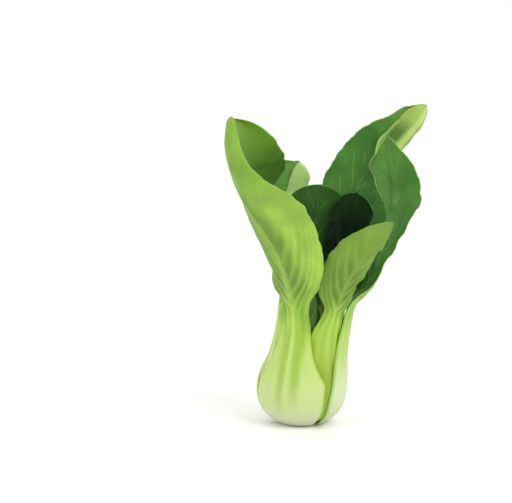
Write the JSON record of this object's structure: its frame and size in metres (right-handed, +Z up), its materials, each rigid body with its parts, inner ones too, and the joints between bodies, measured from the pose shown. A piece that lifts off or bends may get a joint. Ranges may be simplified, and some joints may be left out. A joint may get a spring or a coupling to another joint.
{
  "type": "shanghai bok choy",
  "caption": "Head of Shanghai bok choy standing on its cut stem end: bulbous ribbed pale stalks, a pinched neck and waved green leaf blades that lean apart",
  "frame": {"origin": "centre of the flat cut face of the stem, on the surface that the head stands on", "axes": "+Z up along the head from the cut face to the leaf tips, +X to the right as the picture shows it, -Y towards the camera of the picture"},
  "size_m": [0.1227, 0.086, 0.1913],
  "materials": {
    "stem_cut": "matte",
    "outer_leaf": "satin",
    "open_leaf": "satin",
    "inner_leaf": "satin",
    "heart_leaf": "satin"
  },
  "bodies": {
    "root": {"stem_plate": "stem_cut", "outer_leaf_front_left": "outer_leaf", "outer_leaf_right": "open_leaf", "outer_leaf_back_left": "open_leaf", "second_leaf_front": "outer_leaf", "second_leaf_back_right": "open_leaf", "second_leaf_left": "open_leaf", "third_leaf_back": "inner_leaf", "third_leaf_right": "inner_leaf", "third_leaf_front": "inner_leaf", "heart_leaf_large": "heart_leaf", "heart_leaf_small": "heart_leaf"}
  },
  "joints": []
}
